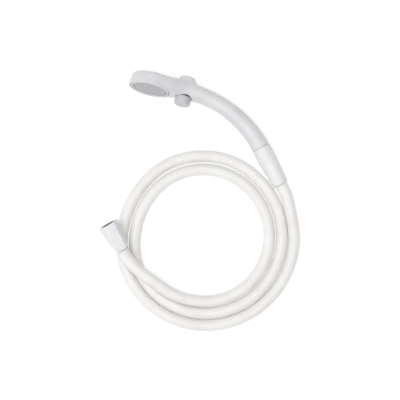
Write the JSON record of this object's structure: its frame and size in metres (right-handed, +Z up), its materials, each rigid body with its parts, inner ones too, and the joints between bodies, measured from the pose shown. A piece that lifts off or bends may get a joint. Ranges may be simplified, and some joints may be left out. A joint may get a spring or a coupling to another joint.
{
  "type": "handheld shower head",
  "caption": "White handheld shower head with a push-through stop valve, a curved handle, and a coiled plastic hose with a cone nut and a six-sided wall nut.",
  "frame": {"origin": "on the surface that the shower head lies on, under the middle of the handset's box", "axes": "+Z up from the surface, +X along the handset's longest extent, from the head towards the hose, +Y away from the hose's coil"},
  "size_m": [0.259, 0.3335, 0.0564],
  "materials": {
    "shell_white": "satin",
    "nut_white": "satin",
    "button_pale": "satin",
    "plate_grey": "matte",
    "hose_pvc": "satin",
    "inner_plastic": "matte",
    "brass": "machined",
    "steel": "woven",
    "seal_rubber": "matte"
  },
  "bodies": {
    "handset": {"body_shell": "shell_white", "diffuser_plate": "inner_plastic", "valve_sleeve": "brass", "sleeve_seals": "seal_rubber", "tail_spigot": "brass", "spigot_seal": "seal_rubber", "flow_regulator": "inner_plastic", "upper_washer": "seal_rubber", "upper_tail": "brass", "hose": "hose_pvc", "lower_tail": "brass", "lower_washer": "seal_rubber", "strainer": "steel"},
    "spray_face": {"face_ring": "shell_white", "spray_plate": "plate_grey", "plate_gasket": "seal_rubber", "filter_disc": "steel"},
    "stop_valve": {"spool": "inner_plastic", "spool_seals": "seal_rubber", "lower_button": "button_pale", "upper_button": "shell_white"},
    "cone_nut": {"cone_nut": "nut_white", "cone_slip_ring": "inner_plastic"},
    "wall_nut": {"wall_nut": "nut_white", "wall_slip_ring": "inner_plastic", "thread_insert": "brass"}
  },
  "joints": [
    {"name": "stop_valve_push", "type": "slide", "parent": "handset", "child": "stop_valve", "axis": [0.2203, 0.955, -0.1987], "range_m": [0, 0.005]},
    {"name": "spray_face_turn", "type": "hinge", "parent": "handset", "child": "spray_face", "pos_m": [-0.07552, 0.05146, 0.02954], "axis": [-0.2203, -0.955, 0.1987], "range_deg": [0, 60]},
    {"name": "cone_nut_turn", "type": "hinge", "parent": "handset", "child": "cone_nut", "pos_m": [0.06799, -0.022, 0.01215], "axis": [0.4695, -0.8817, 0.0464], "continuous": true},
    {"name": "wall_nut_turn", "type": "hinge", "parent": "handset", "child": "wall_nut", "pos_m": [-0.11055, -0.15262, 0.0255], "axis": [-0.4841, 0.8627, 0.1461], "continuous": true}
  ]
}
